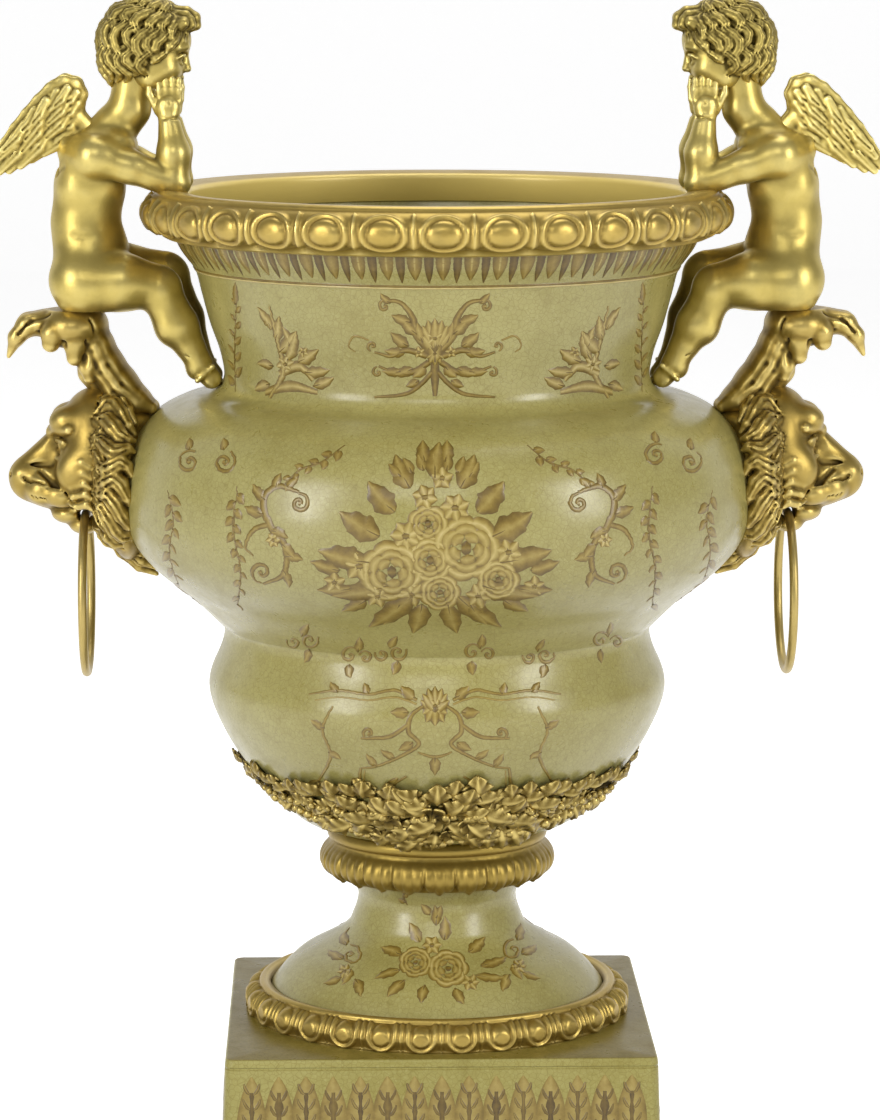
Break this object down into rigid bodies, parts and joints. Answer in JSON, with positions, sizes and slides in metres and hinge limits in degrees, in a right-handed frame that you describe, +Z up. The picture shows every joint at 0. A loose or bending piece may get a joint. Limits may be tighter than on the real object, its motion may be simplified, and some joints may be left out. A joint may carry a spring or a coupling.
{
  "type": "porcelain flower pot",
  "caption": "Urn-shaped porcelain planter on a square plinth, with gilt bronze mounts, lion masks with loose rings and seated winged cherubs as handles.",
  "frame": {"origin": "centre of the underside of the felt pads, on the floor", "axes": "+Z up; -Y the printed front; +X the right-hand handle"},
  "size_m": [0.5282, 0.378, 0.683],
  "materials": {
    "celadon_glaze": "olive celadon crackle glaze with brown print",
    "gilt_bronze": "gilt and patinated, satin",
    "ring_bronze": "gilt, worn smooth",
    "zinc_steel": "zinc plated",
    "steel_fixings": "plated",
    "black_rubber": "matte",
    "felt": "wool felt"
  },
  "bodies": {
    "pot": {"base_felt": "felt", "plinth": "celadon_glaze", "foot_ring": "gilt_bronze", "pedestal_foot": "celadon_glaze", "stem_collar": "gilt_bronze", "bowl_dish": "celadon_glaze", "bowl_cup": "celadon_glaze", "bowl_flare": "celadon_glaze", "bowl_belly": "celadon_glaze", "bowl_shoulder": "celadon_glaze", "bowl_neck": "celadon_glaze", "tie_rod": "zinc_steel", "clamp_plate": "zinc_steel", "seal_washer": "black_rubber", "upper_washer": "zinc_steel", "lower_nut": "zinc_steel", "upper_nut": "zinc_steel", "rim_band": "gilt_bronze", "floral_garland": "gilt_bronze", "right_mask": "gilt_bronze", "right_bracket": "gilt_bronze", "right_cherub": "gilt_bronze", "right_front_wing": "gilt_bronze", "right_rear_wing": "gilt_bronze", "left_mask": "gilt_bronze", "left_bracket": "gilt_bronze", "left_cherub": "gilt_bronze", "left_front_wing": "gilt_bronze", "left_rear_wing": "gilt_bronze", "mask_bolts": "steel_fixings", "mask_washers": "black_rubber", "mask_nuts": "steel_fixings", "seat_screws": "steel_fixings", "elbow_pins": "steel_fixings"},
    "left_ring": {"left_ring": "ring_bronze"},
    "right_ring": {"right_ring": "ring_bronze"}
  },
  "joints": [
    {"name": "left_ring_swing", "type": "hinge", "parent": "pot", "child": "left_ring", "pos_m": [-0.21, 0, 0.37526], "axis": [0, 1, 0], "range_deg": [-45, 115]},
    {"name": "right_ring_swing", "type": "hinge", "parent": "pot", "child": "right_ring", "pos_m": [0.21, 0, 0.37526], "axis": [0, -1, 0], "range_deg": [-45, 115]}
  ]
}
